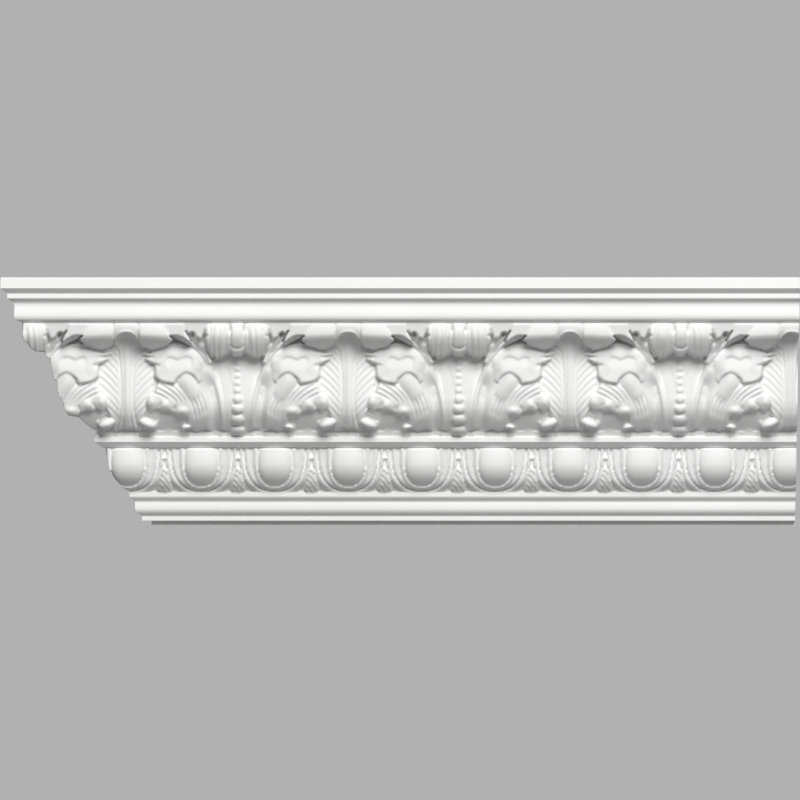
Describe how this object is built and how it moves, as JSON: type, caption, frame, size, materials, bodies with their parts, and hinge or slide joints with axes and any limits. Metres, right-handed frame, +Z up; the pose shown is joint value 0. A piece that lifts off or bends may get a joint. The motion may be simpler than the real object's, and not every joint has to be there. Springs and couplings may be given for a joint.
{
  "type": "cornice moulding length",
  "caption": "Length of ceiling cornice with a carved acanthus frieze over an egg-and-dart band, mitred at one end and cut square at the other.",
  "frame": {"origin": "centre of the flat that lies on the wall, at the back of the moulding's lower edge", "axes": "+X along the moulding's length, to the right seen from the front; +Y into the wall, the way the wall flat faces; +Z up to the ceiling"},
  "size_m": [0.5967, 0.1189, 0.1867],
  "materials": {
    "painted_cast": "white primer paint on a rigid polyurethane casting, matt to eggshell"
  },
  "bodies": {
    "root": {"cornice_moulding": "painted_cast"}
  },
  "joints": []
}
